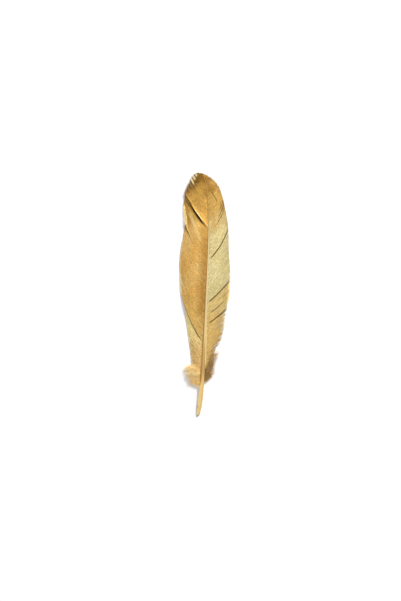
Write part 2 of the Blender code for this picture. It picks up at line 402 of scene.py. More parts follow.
@dataclass(frozen=True)
class VanePaint:
    """Gold metallic paint on a vane's barbs.

    The colours are linear: the main one, its paler patches, the deep tone beside the
    shaft, which is partly the paint's own tone and partly painted shade from the shaft's
    ridge, the bands towards the tip and foot, a painted highlight, and a brown painted
    shade. The deep tone reaches out to a share of the barb, between two places in metres
    along the feather, fades there over deep_fades, and is weaker on the barb's base.
    Waver makes the ends of bands uneven, and streaks run on at streak_run from barb to
    barb and along them. Roughness is for where the grain is dark, then for where it is
    light.
    """

    name: str
    main: Colour
    pale: Colour
    deep: Colour
    deep_reach: float
    bands: tuple[Band, ...]
    # Painted highlight, mixed in where the tone is above 0: on raised edges, curled margins, barb
    # ends and beside the shaft.
    painted_highlight: Colour = (0.95, 0.76, 0.34, 1.0)
    # Brown painted shade, mixed in where the tone is below 0: on split lips, in the trough under
    # the tip web, in creases and on some barb ends.
    painted_shade: Colour = (0.075, 0.037, 0.005, 1.0)
    deep_share: float = 0.95
    deep_from: float = -1.0
    deep_to: float = 0.06
    deep_fades: Range = (0.014, 0.03)
    deep_base: Span = (0.02, 0.12, 0.7, 1.0)
    patches: Cloud = Cloud(70.0, (0.35, 0.7, 0.0, 1.0))
    waver: Cloud = Cloud(110.0, (0.0, 1.0, -0.014, 0.014))
    streaks: Cloud = Cloud(1.0, (0.3, 0.7, 0.80, 1.18))
    streak_run: Range = (2.0, 4.5)
    mottle: Cloud = Cloud(1400.0, (0.34, 0.66, 0.80, 1.17), 2.0)
    grain: Cloud = Cloud(2600.0, (0.3, 0.7, 0.86, 1.12), 2.0)
    bump_strength: float = 0.35
    bump_distance: float = 0.00005
    roughness: Range = (0.56, 0.40)
    metallic: float = 0.36
    sheen: float = 0.22

    def material(self) -> Material:
        """Build the finish.

        Returns:
            The new material.
        """
        sheet = NodeSheet(self.name)
        place, reach, tone = sheet.place(), sheet.attribute("reach"), sheet.attribute("tone")
        far = sheet.math("ADD", sheet.along(), sheet.level(place, self.waver))
        colour = sheet.mix(sheet.level(place, self.patches), self.main, self.pale)
        for band in self.bands:
            source = far if band.measure is Measure.ALONG else sheet.attribute("strand")
            colour = sheet.mix(sheet.ramp(source, band.start, band.end), colour, band.colour)
        # The deep tone beside the shaft: partly the paint's own tone, partly painted shade from the
        # shaft's ridge.
        near = sheet.ramp(reach, 0.0, self.deep_reach, self.deep_share, 0.0)
        for level in (
            sheet.ramp(far, self.deep_to, self.deep_to - self.deep_fades[1]),
            sheet.ramp(far, self.deep_from - self.deep_fades[0], self.deep_from),
            sheet.ramp(reach, *self.deep_base),
        ):
            near = sheet.times(near, level)
        colour = sheet.mix(near, colour, self.deep)
        grain = sheet.noise(place, self.grain)
        for level in (
            sheet.level(sheet.strand_place(*self.streak_run), self.streaks),
            sheet.level(place, self.mottle),
            sheet.ramp(grain, *self.grain.span),
        ):
            colour = sheet.shade(colour, level)
        # Tones above 0 mix in the painted highlight, and tones below 0 the brown painted shade.
        colour = sheet.mix(sheet.ramp(tone, 0.0, 1.0), colour, self.painted_highlight)
        colour = sheet.mix(sheet.ramp(tone, 0.0, -1.0), colour, self.painted_shade)
        rough = sheet.ramp(grain, *self.grain.span[:2], *self.roughness)
        sheet.bump(grain, self.bump_strength, self.bump_distance)
        plain = {"Metallic": self.metallic, "Specular IOR Level": self.sheen}
        return sheet.finish(colour, rough, plain)


@dataclass(frozen=True)
class HornPaint:
    """Glossier gold paint over the smooth horn of the quill and shaft.

    Zones are spans of the place in metres along the feather, from its middle, and sides
    are spans of the place across the horn, from -1 on the left to 1 on the right. The
    sides carry painted light: a painted highlight down the quill's left side, painted
    shade on its right edge and on the shaft's left side, and a painted highlight on the
    shaft's right half.
    """

    name: str = "gold_paint_on_horn"
    main: Colour = (0.79, 0.53, 0.18, 1.0)
    # Used for the horn's dark grain lines, and as painted shade on the quill's right edge and the
    # shaft's left side.
    deep: Colour = (0.56, 0.27, 0.04, 1.0)
    # Painted highlight down the quill's left side.
    painted_lit_side: Colour = (1.0, 0.77, 0.35, 1.0)
    # Painted highlight on the shaft's right half.
    pale: Colour = (0.72, 0.61, 0.33, 1.0)
    brown: Colour = (0.50, 0.32, 0.105, 1.0)
    bronze: Colour = (0.44, 0.25, 0.045, 1.0)
    # Painted shade in the quill's pit; also the darker quill end and the nub's darker spot.
    painted_shade: Colour = (0.12, 0.07, 0.03, 1.0)
    lines: Cloud = Cloud(1600.0, (0.4, 0.75, 0.0, 0.3))
    line_scale: tuple[float, float, float] = (1.0, 0.08, 1.0)
    quill_zone: Range = (-0.060, -0.067)
    brown_zone: Span = (-0.064, -0.054, 0.0, 0.9)
    pale_zone: Range = (-0.042, -0.028)
    dull_zone: Range = (0.03, 0.065)
    left_side: Span = (0.1, -0.6, 0.0, 0.9)
    right_side: Span = (0.45, 0.85, 0.0, 0.75)
    pale_side: Span = (-0.35, 0.25, 0.0, 0.85)
    roughness: Span = (0.3, 0.7, 0.28, 0.46)
    dulling: float = 0.3
    bump_strength: float = 0.2
    bump_distance: float = 0.00004
    metallic: float = 0.4
    coat: float = 0.4
    coat_roughness: float = 0.2

    def material(self) -> Material:
        """Build the finish.

        Returns:
            The new material.
        """
        sheet = NodeSheet(self.name)
        stretch = {"Vector": sheet.place(), "Scale": self.line_scale}
        lines = sheet.noise(sheet.node("ShaderNodeMapping", stretch), self.lines)
        side, along = sheet.attribute("strand"), sheet.along()
        left, right = sheet.ramp(side, *self.left_side), sheet.ramp(side, *self.right_side)
        quill, dull = sheet.ramp(along, *self.quill_zone), sheet.ramp(along, *self.dull_zone)
        above = sheet.math("SUBTRACT", 1.0, quill)
        shaft = sheet.ramp(side, *self.pale_side), sheet.ramp(along, *self.pale_zone)
        colour = self.main
        # In order: dark grain lines, a painted highlight down the quill's left side, painted shade
        # on its right edge, a brown band where quill meets shaft, painted shade on the shaft's left
        # side, a painted highlight on its right half, bronze towards the tip, and the dark of the
        # pit, quill end and nub.
        for share, tone in (
            (sheet.ramp(lines, *self.lines.span), self.deep),
            (sheet.times(left, quill), self.painted_lit_side),
            (sheet.times(right, quill), self.deep),
            (sheet.ramp(along, *self.brown_zone), self.brown),
            (sheet.times(left, above), self.deep),
            (sheet.times(*shaft), self.pale),
            (dull, self.bronze),
            (sheet.attribute("reach"), self.painted_shade),
        ):
            colour = sheet.mix(share, colour, tone)
        rough = sheet.ramp(lines, *self.roughness)
        rough = sheet.math("ADD", rough, sheet.times(dull, self.dulling))
        sheet.bump(lines, self.bump_strength, self.bump_distance)
        plain = {"Metallic": self.metallic, "Coat Weight": self.coat}
        plain["Coat Roughness"] = self.coat_roughness
        return sheet.finish(colour, rough, plain)


@dataclass(frozen=True)
class DownPaint:
    """Soft hairs that took only a dusting of gold.

    Shades are the darkest and the lightest hair's, and roughness is for hairs without
    dust, then with it.
    """

    name: str
    main: Colour
    dusted: Colour
    dust: Cloud = Cloud(780.0, (0.42, 0.6, 0.0, 1.0))
    shades: Range = (0.66, 1.5)
    roughness: Range = (0.62, 0.47)
    metallic: float = 0.12
    sheen: float = 0.25

    def material(self) -> Material:
        """Build the finish.

        Returns:
            The new material.
        """
        sheet = NodeSheet(self.name)
        dust = sheet.level(sheet.place(), self.dust)
        colour = sheet.mix(dust, self.main, self.dusted)
        colour = sheet.shade(colour, sheet.ramp(sheet.attribute("strand"), 0.0, 1.0, *self.shades))
        rough = sheet.ramp(dust, 0.0, 1.0, *self.roughness)
        plain = {"Metallic": self.metallic, "Specular IOR Level": self.sheen}
        return sheet.finish(colour, rough, plain)


@dataclass
class Shaft:
    """The bare quill and the tapering shaft that it runs on as.

    Offset is how far it lies to the right of the feather's axis and lift its height. The
    pit is in the quill's end, the nub on its left, and the groove under the shaft.
    Pit_rings are (how deep, share of the pit's width) and end_rings (how far along, share
    of the end's width), up to round_end. The pit gets painted shade, and the quill's end
    is darker, fading out by round_end. Nub_left is how far left the nub's darker spot
    starts and is full, and the ridge is what stands up between the vanes.
    """

    offset: Curve
    lift: Curve
    width: Curve
    depth: Curve
    tip: float = 173.6
    sides: int = 24
    rings: int = 260
    groove_from: float = 40.0
    groove_run: float = 20.0
    groove_share: float = 0.3
    groove_sharp: int = 12
    pit_share: float = 0.5
    pit_rings: Points = ((2.6, 0.5), (1.3, 0.8), (0.12, 1.0), (0.0, 1.15))
    end_rings: Points = ((0.0, 0.74), (0.08, 0.86), (0.25, 0.95), (0.5, 0.99))
    end_dark: float = 0.95
    round_end: float = 0.8
    ridge_base: float = 0.03
    ridge_share: float = 0.25
    nub_place: float = 6.5
    nub_height: float = 0.38
    nub_length: float = 0.75
    nub_angle: float = 0.5
    nub_sharp: int = 6
    nub_dark: float = 0.7
    nub_dark_length: float = 0.975
    nub_left: Range = (0.64, 1.28)

    def vane_top(self, root: Array) -> Array:
        """Height of a vane's upper face where it meets the shaft."""
        ridge = self.ridge_base + self.ridge_share * self.width.at(root)
        return self.lift.at(root) + self.depth.at(root) - ridge

    def angles(self) -> Array:
        """Angles of a ring's corners, from the underside round by the right."""
        return 2.0 * math.pi * np.arange(self.sides) / self.sides - math.pi / 2.0

    def ring(self, along: float, width: float, depth: float) -> Array:
        """Corners round the shaft at one place.

        Args:
            along: distance from the quill's end.
            width: side to side.
            depth: top to bottom.

        Returns:
            Corner places, shaped (sides, 3).
        """
        angle = self.angles()
        nub = self.nub_height * math.exp(-(((along - self.nub_place) / self.nub_length) ** 2))
        across = self.offset.at(along) + width / 2.0 * np.cos(angle)
        across -= nub * np.clip(-np.cos(angle - self.nub_angle), 0.0, 1.0) ** self.nub_sharp
        groove = self.groove_share * depth / 2.0
        groove *= ease(along, self.groove_from, self.groove_from + self.groove_run)
        height = self.lift.at(along) + self.depth.at(along) / 2.0 + depth / 2.0 * np.sin(angle)
        height += groove * np.clip(-np.sin(angle), 0.0, 1.0) ** self.groove_sharp
        return np.stack((across, np.full(self.sides, along), height), axis=-1)

    def build(self) -> Object:
        """Make the quill and shaft.

        Returns:
            The mesh object.
        """
        end = float(self.width.at(0.0))
        pit = end * self.pit_share
        rings = [self.ring(along, pit * share, pit * share) for along, share in self.pit_rings]
        # The pit's rings get full painted shade, and the end's rings a darker tone that fades out
        # by round_end; both go into the horn's reach value.
        painted_shade = [1.0] * len(rings)
        for along, share in self.end_rings:
            rings.append(self.ring(along, end * share, end * share))
            painted_shade.append(self.end_dark * (1.0 - along / self.round_end))
        for along in np.linspace(self.round_end, self.tip, self.rings + 1):
            rings.append(self.ring(along, self.width.at(along), self.depth.at(along)))
            painted_shade.append(0.0)
        corners = np.array([rings])
        # A darker spot on the nub, in the same reach value.
        spot = (corners[..., 1] - self.nub_place) / self.nub_dark_length
        left = self.offset.at(self.nub_place) - corners[..., 0]
        nub = self.nub_dark * np.exp(-(spot**2)) * ease(left, *self.nub_left)
        skin = Skin()
        skin.add_tubes(
            corners,
            reach=np.maximum(np.array(painted_shade)[:, None], nub),
            strand=np.cos(self.angles())[None, None, :],
        )
        return skin.make("quill_and_shaft", Face.SMOOTH)


@dataclass(frozen=True)
class Split:
    """A place where a vane has parted between two barbs.

    Root, zone and shadow_width are millimetres along the shaft, start and end are the
    shares of the barb between which it shows, gap is how far it stands open at the
    margin, and shadow is how strong the painted shade on its two lips is.
    """

    root: float
    start: float
    gap: float
    zone: float = 2.5
    shadow: float = 1.0
    shadow_width: float = 0.36
    end: float = 1.2


@dataclass(frozen=True)
class Streak:
    """A streak along the barbs that carries painted highlight or painted shade, by its tone.

    Root and width are millimetres along the shaft, start, end and fade are shares of the
    way out along the barb, and tone runs from -1, full painted shade, to 1, full painted
    highlight.
    """

    root: float
    width: float
    start: float
    end: float
    tone: float
    fade: float = 0.1

    def on(self, roots: Array, share: Array) -> Array:
        """Read the streak's tone on barbs.

        Args:
            roots: the barbs' roots, shaped (barbs, 1).
            share: how far out each row of a barb is.

        Returns:
            Tones, shaped (barbs, rows).
        """
        starts = ease(share, self.start, self.start + self.fade)
        ends = ease(share, self.end, self.end - self.fade)
        return self.tone * near_line(roots - self.root, self.width) * starts * ends


@dataclass(frozen=True)
class Stroke:
    """A stroke between two places that carries painted highlight or painted shade, by its tone.

    Places are (across, along) in millimetres, width is half the stroke's width there,
    and tone runs from -1, full painted shade, to 1, full painted highlight.
    """

    start: Range
    end: Range
    width: float
    tone: float

    def on(self, spine: Array) -> Array:
        """Read the stroke's tone on barbs.

        Args:
            spine: places along each barb, shaped (barbs, rows, 3).

        Returns:
            Tones, shaped (barbs, rows).
        """
        line = np.array(self.end) - np.array(self.start)
        beside = spine[..., :2] - np.array(self.start)
        share = np.clip(beside @ line / (line @ line), 0.0, 1.0)
        away = np.linalg.norm(beside - share[..., None] * line, axis=-1)
        return self.tone * near_line(away, self.width)


@dataclass(frozen=True)
class Lip:
    """A web's lowest barbs where they stand up from the web below.

    Width is how far up the shaft that goes, and start and fade are shares of the barb.
    """

    height: float = 0.0
    width: float = 1.0
    start: float = 0.0
    fade: float = 0.2

    def rise(self, away: Array, reach: Array) -> Array:
        """How far barbs are raised, by their roots' distance from the web's lowest one."""
        near = np.exp(-np.maximum(away, 0.0) / self.width)
        return self.height * near * ease(reach, self.start, self.start + self.fade)


@dataclass(kw_only=True)
class Growth:
    """Barbs or hairs that grow from one side of the shaft, and the layer they lie in.

    The curves are read at a barb's root. Drop is how far the layer lies under the vane's
    top at the shaft, sink how far its middle is under its upper face, and edge its height
    at the margin. Lift raises the barbs beyond lift_run, curl raises their ends from
    curl_start on, and bow bends them towards the tip. First and last are the lowest and
    highest root, and past_centre is how far past the shaft's middle a root goes.
    """

    name: str
    side: Side
    margin: Margin
    drop: float = 0.0
    lift: Curve = flat()
    edge: Curve = flat()
    first: float
    last: float
    seed: int
    bow: Curve = flat(0.11)
    curl: Curve = flat()
    curl_start: float = 0.8
    lip: Lip = Lip()
    lift_run: float = 0.3
    slope_power: float = 1.6
    past_centre: float = 0.2
    sink: float = 0.2

    def layer(self, shaft: Shaft, root: Array, reach: Array) -> Array:
        """Find places in the layer.

        Args:
            shaft: what the barbs grow from.
            root: each barb's root.
            reach: share of the way out along the barb, in the same shape.

        Returns:
            Places, with one more axis of three.
        """
        side = self.side.value
        start_x = shaft.offset.at(root) - side * self.past_centre
        end_x, end_y = self.margin.at(root)
        bow = side * self.bow.at(root)
        middle_x = (start_x + end_x) / 2.0 + (end_y - root) * bow
        middle_y = (root + end_y) / 2.0 - (end_x - start_x) * bow
        back, mid, out = (1.0 - reach) ** 2, 2.0 * reach * (1.0 - reach), reach**2
        x = start_x * back + middle_x * mid + end_x * out
        y = root * back + middle_y * mid + end_y * out
        top = shaft.vane_top(root) - self.drop - self.sink
        edge = self.edge.at(root) + self.sink
        z = edge + (top - edge) * (1.0 - reach**self.slope_power)
        z = z + self.lift.at(root) * ease(reach, 0.0, self.lift_run)
        z = z + self.lip.rise(root - self.first, reach)
        z = z + self.curl.at(root) * ease(reach, self.curl_start)
        return np.stack((x, y, z), axis=-1)


@dataclass(kw_only=True)
class Web(Growth):
    """A run of barbs that hook onto each other, as in the solid feather.

    Fray is how much shorter barbs are, stray how far their ends go their own way, wander
    how far they bend together, and the small_ ranges are what small splits are drawn
    from. Tips is how strong the painted highlight is on the last tip_share of the barbs,
    at least tip_low of that, which below 0 turns into painted shade, in waves of
    tip_wave, and base how strong the painted highlight is beside the shaft, within
    base_fade of it. A lock is the barbs between two splits, raised and leaning as one.
    Spacing is between barbs, overlap half a barb's width as a share of it, shingle and
    ridge how far a barb tilts and is domed, and point how much narrower its end is.
    """

    fray: Curve
    stray: Curve
    splits: tuple[Split, ...] = ()
    small_splits: int
    small_start: Range = (0.5, 0.96)
    small_gap: Range = (0.12, 0.5)
    small_gap_fray: float = 2.0
    small_zone: Range = (0.5, 1.4)
    small_shadow: Range = (0.1, 0.45)
    small_shadow_width: float = 0.25
    streaks: tuple[Streak, ...] = ()
    strokes: tuple[Stroke, ...] = ()
    tips: Curve = flat()
    tip_share: float = 0.1
    tip_low: float = 0.2
    tip_wave: float = 2.6
    tip_contrast: float = 1.6
    base: Curve = flat()
    base_fade: Range = (1.17, 0.27)
    spacing: float = 0.33
    overlap: float = 0.62
    shingle: float = 0.03
    ridge: float = 0.045
    ridge_end: float = 0.4
    rows: int = 20
    row_power: float = 1.25
    uneven_length: float = 0.012
    wander: float = 0.35
    wander_length: float = 9.0
    wander_from: float = 0.2
    stray_from: float = 0.55
    stray_height: float = 0.5
    lock_height: float = 0.12
    lock_lean: float = 0.3
    lock_from: Range = (0.3, 0.9)
    least_lock: float = 0.1
    jitter: float = 0.02
    jitter_from: float = 0.2
    point: float = 0.75
    point_from: float = 0.93
    strand_jitter: float = 0.2

    def all_splits(self, dice: Random) -> list[Split]:
        """Gather the named splits and the small ones near the margin.

        Args:
            dice: seeded source of the small ones.

        Returns:
            The splits, from the lowest up.
        """
        found = list(self.splits)
        for _ in range(self.small_splits):
            root = dice.uniform(self.first, self.last)
            start = dice.uniform(*self.small_start)
            gap = dice.uniform(*self.small_gap)
            gap *= 1.0 + self.small_gap_fray * float(self.fray.at(root))
            zone = dice.uniform(*self.small_zone)
            shadow = dice.uniform(*self.small_shadow)
            found.append(Split(root, start, gap, zone, shadow, self.small_shadow_width))
        return sorted(found, key=lambda split: split.root)

    def openings(self, roots: Array, share: Array, splits: list[Split]) -> Array:
        """How far splits push barbs along the feather.

        Args:
            roots: the barbs' roots.
            share: how far out each row is.
            splits: where the web has parted.

        Returns:
            Distances, shaped (barbs, rows).
        """
        turn = np.zeros((len(roots), len(share)))
        for split in splits:
            away = roots - split.root
            opening = np.sqrt(np.clip((share - split.start) / (1.0 - split.start), 0.0, 1.0))
            turn += np.sign(away) * split.gap / 2.0 * opening * np.exp(-np.abs(away) / split.zone)
        return turn

    def lock_heights(self, roots: Array, splits: list[Split], dice: Random) -> Array:
        """How far each barb is raised or sunk with its lock.

        Args:
            roots: the barbs' roots.
            splits: where the web has parted.
            dice: seeded source of the locks' heights.

        Returns:
            Heights, shaped (barbs, 1).
        """
        bounds = np.array([self.first, *(split.root for split in splits), self.last])
        lock = np.searchsorted(bounds[1:-1], roots)
        height = rolls(len(splits) + 1, lambda: dice.uniform(-1.0, 1.0))[:, 0]
        lean = rolls(len(splits) + 1, lambda: dice.uniform(-1.0, 1.0))[:, 0]
        size = np.maximum(bounds[lock + 1] - bounds[lock], self.least_lock)
        inside = (roots - bounds[lock]) / size - 0.5
        return self.lock_height * height[lock] + self.lock_lean * lean[lock] * inside

    def ribbons(
        self, shaft: Shaft, turned: Array, length: Array, share: Array, raised: Array
    ) -> Array:
        """Corners round each barb.

        Args:
            shaft: what the barbs grow from.
            turned: the barbs' roots, turned as they are at each row.
            length: each barb's share of its full length.
            share: how far out each row is.
            raised: how far each row is raised.

        Returns:
            Corner places, shaped (barbs, rows, 4, 3).
        """
        taper = 1.0 - self.point * ease(share, self.point_from)
        half = self.spacing * self.overlap * taper
        low_side = self.layer(shaft, turned - half, share * length)
        high_side = self.layer(shaft, turned + half, share * length)
        low_side[..., 2] += raised - self.shingle
        high_side[..., 2] += raised + self.shingle
        crest = np.zeros((len(share), 3))
        crest[:, 2] = self.ridge * (self.ridge_end + (1.0 - self.ridge_end) * taper)
        middle = (low_side + high_side) / 2.0
        rings = np.stack((middle - crest, low_side, middle + crest, high_side), axis=2)
        if self.side is Side.RIGHT:
            rings = rings[:, :, ::-1]
        rings[..., 2] = np.maximum(rings[..., 2], FLOOR_GAP)
        return rings

    def tones(
        self,
        shaft: Shaft,
        roots: Array,
        share: Array,
        spine: Array,
        splits: list[Split],
        dice: Random,
    ) -> Array:
        """Where the barbs get painted highlight and painted shade.

        Args:
            shaft: what the barbs grow from.
            roots: the barbs' roots.
            share: how far out each row is.
            spine: places along each barb, shaped (barbs, rows, 3).
            splits: where the web has parted.
            dice: seeded source of how strong each barb end's painted highlight is.

        Returns:
            Tones from -1, full painted shade, to 1, full painted highlight, shaped (barbs, rows).
        """
        # Each split's two lips get painted shade.
        lips = [
            Streak(split.root, split.shadow_width, split.start, split.end, -split.shadow)
            for split in splits
        ]
        tone = sum(streak.on(roots, share) for streak in (*lips, *self.streaks))
        # Painted highlight on the barb ends, in waves; where tip_low is below 0 it dips into
        # painted shade.
        uneven = 0.5 + self.tip_contrast * waves(roots, dice, 2, self.tip_wave)
        uneven = self.tip_low + (1.0 - self.tip_low) * np.clip(uneven, 0.0, 1.0)
        tip = ease(share, 1.0 - self.tip_share, 1.0 - self.tip_share / 2.0)
        tone = tone + self.tips.at(roots) * uneven * tip
        # Painted highlight on the barbs beside the shaft.
        across, along = spine[..., 0], spine[..., 1]
        away = np.abs(across - shaft.offset.at(along)) - shaft.width.at(along) / 2.0
        tone += self.base.at(roots) * ease(away, *self.base_fade)
        tone += sum(stroke.on(spine) for stroke in self.strokes)
        return np.clip(tone, -1.0, 1.0)

    def build(self, shaft: Shaft) -> Object:
        """Make the web, barb by barb.

        Args:
            shaft: what the barbs grow from.

        Returns:
            The mesh object.
        """
        dice = Random(self.seed)
        splits = self.all_splits(dice)
        count = round((self.last - self.first) / self.spacing) + 1
        roots = np.linspace(self.first, self.last, count)[:, None]
        share = 1.0 - (1.0 - np.linspace(0.0, 1.0, self.rows)) ** self.row_power
        length = 1.0 - self.fray.at(roots) * rolls(count, lambda: dice.random() ** 2)
        length -= self.uneven_length * rolls(count, dice.random)
        turn = self.openings(roots, share, splits)
        wander = self.wander * waves(roots, dice, 3, self.wander_length)
        turn += wander * ease(share, self.wander_from)
        wild = self.stray.at(roots) * rolls(count, lambda: dice.gauss(0.0, 1.0))
        turn += wild * ease(share, self.stray_from)
        raised = self.lock_heights(roots, splits, dice) * ease(share, *self.lock_from)
        raised += self.stray_height * np.abs(wild) * ease(share, self.stray_from)
        jitter = self.jitter * rolls(count, lambda: dice.uniform(-1.0, 1.0))
        raised += jitter * ease(share, 0.0, self.jitter_from)
        rings = self.ribbons(shaft, roots + turn, length, share, raised)
        strand = roots + self.strand_jitter * rolls(count, dice.random)
        tone = self.tones(shaft, roots, share, rings.mean(axis=2), splits, dice)
        skin = Skin()
        skin.add_tubes(rings, strand=strand, reach=share, tone=tone)
        return skin.make(self.name, Face.CREASED)


@dataclass(kw_only=True)
class Tuft(Growth):
    """Loose down at the foot of a vane: curled hairs with finer hairs along them.

    Hairs stand in clumps. Fields that are ranges are what a random draw lies between.
    A hair sways aside and up, and the part beyond curl_from curls round with a radius by
    an angle in radians. A clump's hairs are drawn towards its middle one. Finer hairs
    lean out by an angle in degrees, rise, and bend forward and aside.
    """

    slope_power: float = 1.0
    past_centre: float = 0.0
    clumps: int
    clump_hairs: int = 4
    clump_place: Range = (0.1, 0.9)
    clump_spread: Range = (-0.9, 0.9)
    clump_length: Range = (0.6, 1.04)
    clump_draw: Range = (0.35, 0.92)
    clump_drawn_by: float = 0.6
    clump_shade: float = 0.7
    rows: int = 16
    sides: int = 4
    thick: float = 0.06
    thinning: float = 0.7
    hair_length: Range = (0.55, 1.0)
    sway: float = 0.7
    sway_up: float = 0.8
    sway_rise: float = 0.3
    sway_by: float = 0.8
    sway_run: float = 12.0
    sway_wave: Range = (6.0, 11.0)
    curl_radius: Range = (0.8, 1.8)
    curl_angle: Range = (1.2, 4.2)
    curl_from: float = 0.5
    curl_power: float = 1.4
    fine_each: int = 66
    fine_rows: int = 4
    fine_sides: int = 3
    fine_thick: float = 0.019
    fine_thinning: float = 0.6
    fine_length: float = 2.3
    fine_places: Range = (0.12, 0.98)
    fine_angle: Range = (30.0, 80.0)
    fine_rise: Range = (-0.5, 0.6)
    fine_lengths: Range = (0.35, 1.1)
    fine_shrink: float = 0.35
    fine_forward: Range = (-0.7, 1.1)
    fine_aside: Range = (-0.9, 0.9)
    fine_bend: float = 0.6

    def hair(self, shaft: Shaft, root: float, length: float, dice: Random) -> Array:
        """One curled hair.

        Args:
            shaft: what the hair grows from.
            root: distance along the shaft of its root.
            length: share of the tuft's full reach at that root.
            dice: seeded source of its curl.

        Returns:
            Places along it, shaped (rows, 3).
        """
        reach = np.linspace(0.0, length, self.rows)
        line = self.layer(shaft, np.full(self.rows, root), reach)
        flow = line[-1] - line[0]
        flow = flow / np.linalg.norm(flow)
        aside = np.array((-flow[1], flow[0], 0.0))
        swing = ease(reach, 0.0, self.sway_by)
        place = reach * self.sway_run
        sway = self.sway * waves(place, dice, 2, dice.uniform(*self.sway_wave))
        line += aside * (swing * sway)[:, None]
        rise = self.sway_up * waves(place, dice, 2, dice.uniform(*self.sway_wave))
        line[:, 2] += swing * (rise + self.sway_rise)
        radius = dice.uniform(*self.curl_radius)
        turn = dice.choice((-1.0, 1.0)) * dice.uniform(*self.curl_angle)
        curled = np.clip((reach / length - self.curl_from) / (1.0 - self.curl_from), 0.0, 1.0)
        angle = turn * curled**self.curl_power
        bent = aside * (np.sign(turn) * radius * (1.0 - np.cos(angle)))[:, None]
        back = flow * (radius * (np.abs(angle) - np.sin(np.abs(angle))))[:, None]
        return line + bent - back

    def clump(self, shaft: Shaft, root: float, dice: Random) -> list[Array]:
        """A few hairs that draw together towards their ends.

        Args:
            shaft: what the hairs grow from.
            root: distance along the shaft of the clump's middle.
            dice: seeded source of their curls.

        Returns:
            Places along each hair.
        """
        middle = self.hair(shaft, root, dice.uniform(*self.clump_length), dice)
        share = np.linspace(0.0, 1.0, self.rows)[:, None]
        lines = []
        for _ in range(self.clump_hairs):
            near = np.clip(root + dice.uniform(*self.clump_spread), self.first, self.last)
            own = self.hair(shaft, near, dice.uniform(*self.hair_length), dice)
            drawn = dice.uniform(*self.clump_draw) * ease(share, 0.0, self.clump_drawn_by)
            lines.append(own + (middle - own) * drawn)
        return lines

    def fine_hairs(self, line: Array, dice: Random) -> Array:
        """Finer hairs along one hair.

        Args:
            line: the hair that they grow from.
            dice: seeded source of their places and curls.

        Returns:
            Their places, shaped (count, rows, 3).
        """
        made = []
        share = np.linspace(0.0, 1.0, self.fine_rows)[:, None]
        for index, at in enumerate(np.linspace(*self.fine_places, self.fine_each)):
            spot = at * (len(line) - 1)
            low = min(int(spot), len(line) - 2)
            step = line[low + 1] - line[low]
            flow = step / np.linalg.norm(step)
            aside = np.array((-flow[1], flow[0], 0.0))
            turn = math.radians(dice.uniform(*self.fine_angle)) * (1 if index % 2 else -1)
            out = flow * math.cos(turn) + aside * math.sin(turn)
            out[2] += dice.uniform(*self.fine_rise)
            length = self.fine_length * dice.uniform(*self.fine_lengths)
            length *= 1.0 - self.fine_shrink * at
            bend = flow * dice.uniform(*self.fine_forward) + aside * dice.uniform(*self.fine_aside)
            start = line[low] + step * (spot - low)
            made.append(start + length * (out * share + bend * self.fine_bend * share**2))
        return np.array(made)

    def build(self, shaft: Shaft) -> Object:
        """Make the tuft.

        Args:
            shaft: what it grows from.

        Returns:
            The mesh object.
        """
        dice = Random(self.seed)
        lines, fine, tones = [], [], []
        for index in range(self.clumps):
            along = (index + dice.uniform(*self.clump_place)) / self.clumps
            shade = self.clump_shade * dice.random()
            for line in self.clump(shaft, self.first + (self.last - self.first) * along, dice):
                tones.append(shade + (1.0 - self.clump_shade) * dice.random())
                lines.append(line)
                fine.append(self.fine_hairs(line, dice))
        skin = Skin()
        tone = np.array(tones)[:, None]
        share = np.linspace(0.0, 1.0, self.rows)
        radius = self.thick * (1.0 - self.thinning * share)
        rings = self.tubes(np.array(lines), radius, self.sides)
        skin.add_tubes(rings, strand=tone, reach=share)
        share = np.linspace(0.0, 1.0, self.fine_rows)
        radius = self.fine_thick * (1.0 - self.fine_thinning * share)
        rings = self.tubes(np.concatenate(fine), radius, self.fine_sides)
        skin.add_tubes(rings, strand=np.repeat(tone, self.fine_each, axis=0), reach=share)
        return skin.make(self.name, Face.SMOOTH)

    @staticmethod
    def tubes(lines: Array, radius: Array, sides: int) -> Array:
        """Rings of corners round several lines.

        Args:
            lines: places shaped (lines, rows, 3).
            radius: one for each row.
            sides: corners in a ring.

        Returns:
            Corner places, shaped (lines, rows, sides, 3).
        """
        flow = np.gradient(lines, axis=1)
        flow = flow / np.linalg.norm(flow, axis=-1, keepdims=True)
        aside = np.cross(flow, np.array((0.0, 0.0, 1.0)))
        aside = aside / np.maximum(np.linalg.norm(aside, axis=-1, keepdims=True), 1e-6)
        above = np.cross(aside, flow)
        angle = (2.0 * math.pi * np.arange(sides) / sides)[:, None]
        around = aside[..., None, :] * np.cos(angle) + above[..., None, :] * np.sin(angle)
        rings = lines[..., None, :] + around * radius[None, :, None, None]
        rings[..., 2] = np.maximum(rings[..., 2], FLOOR_GAP)
        return rings


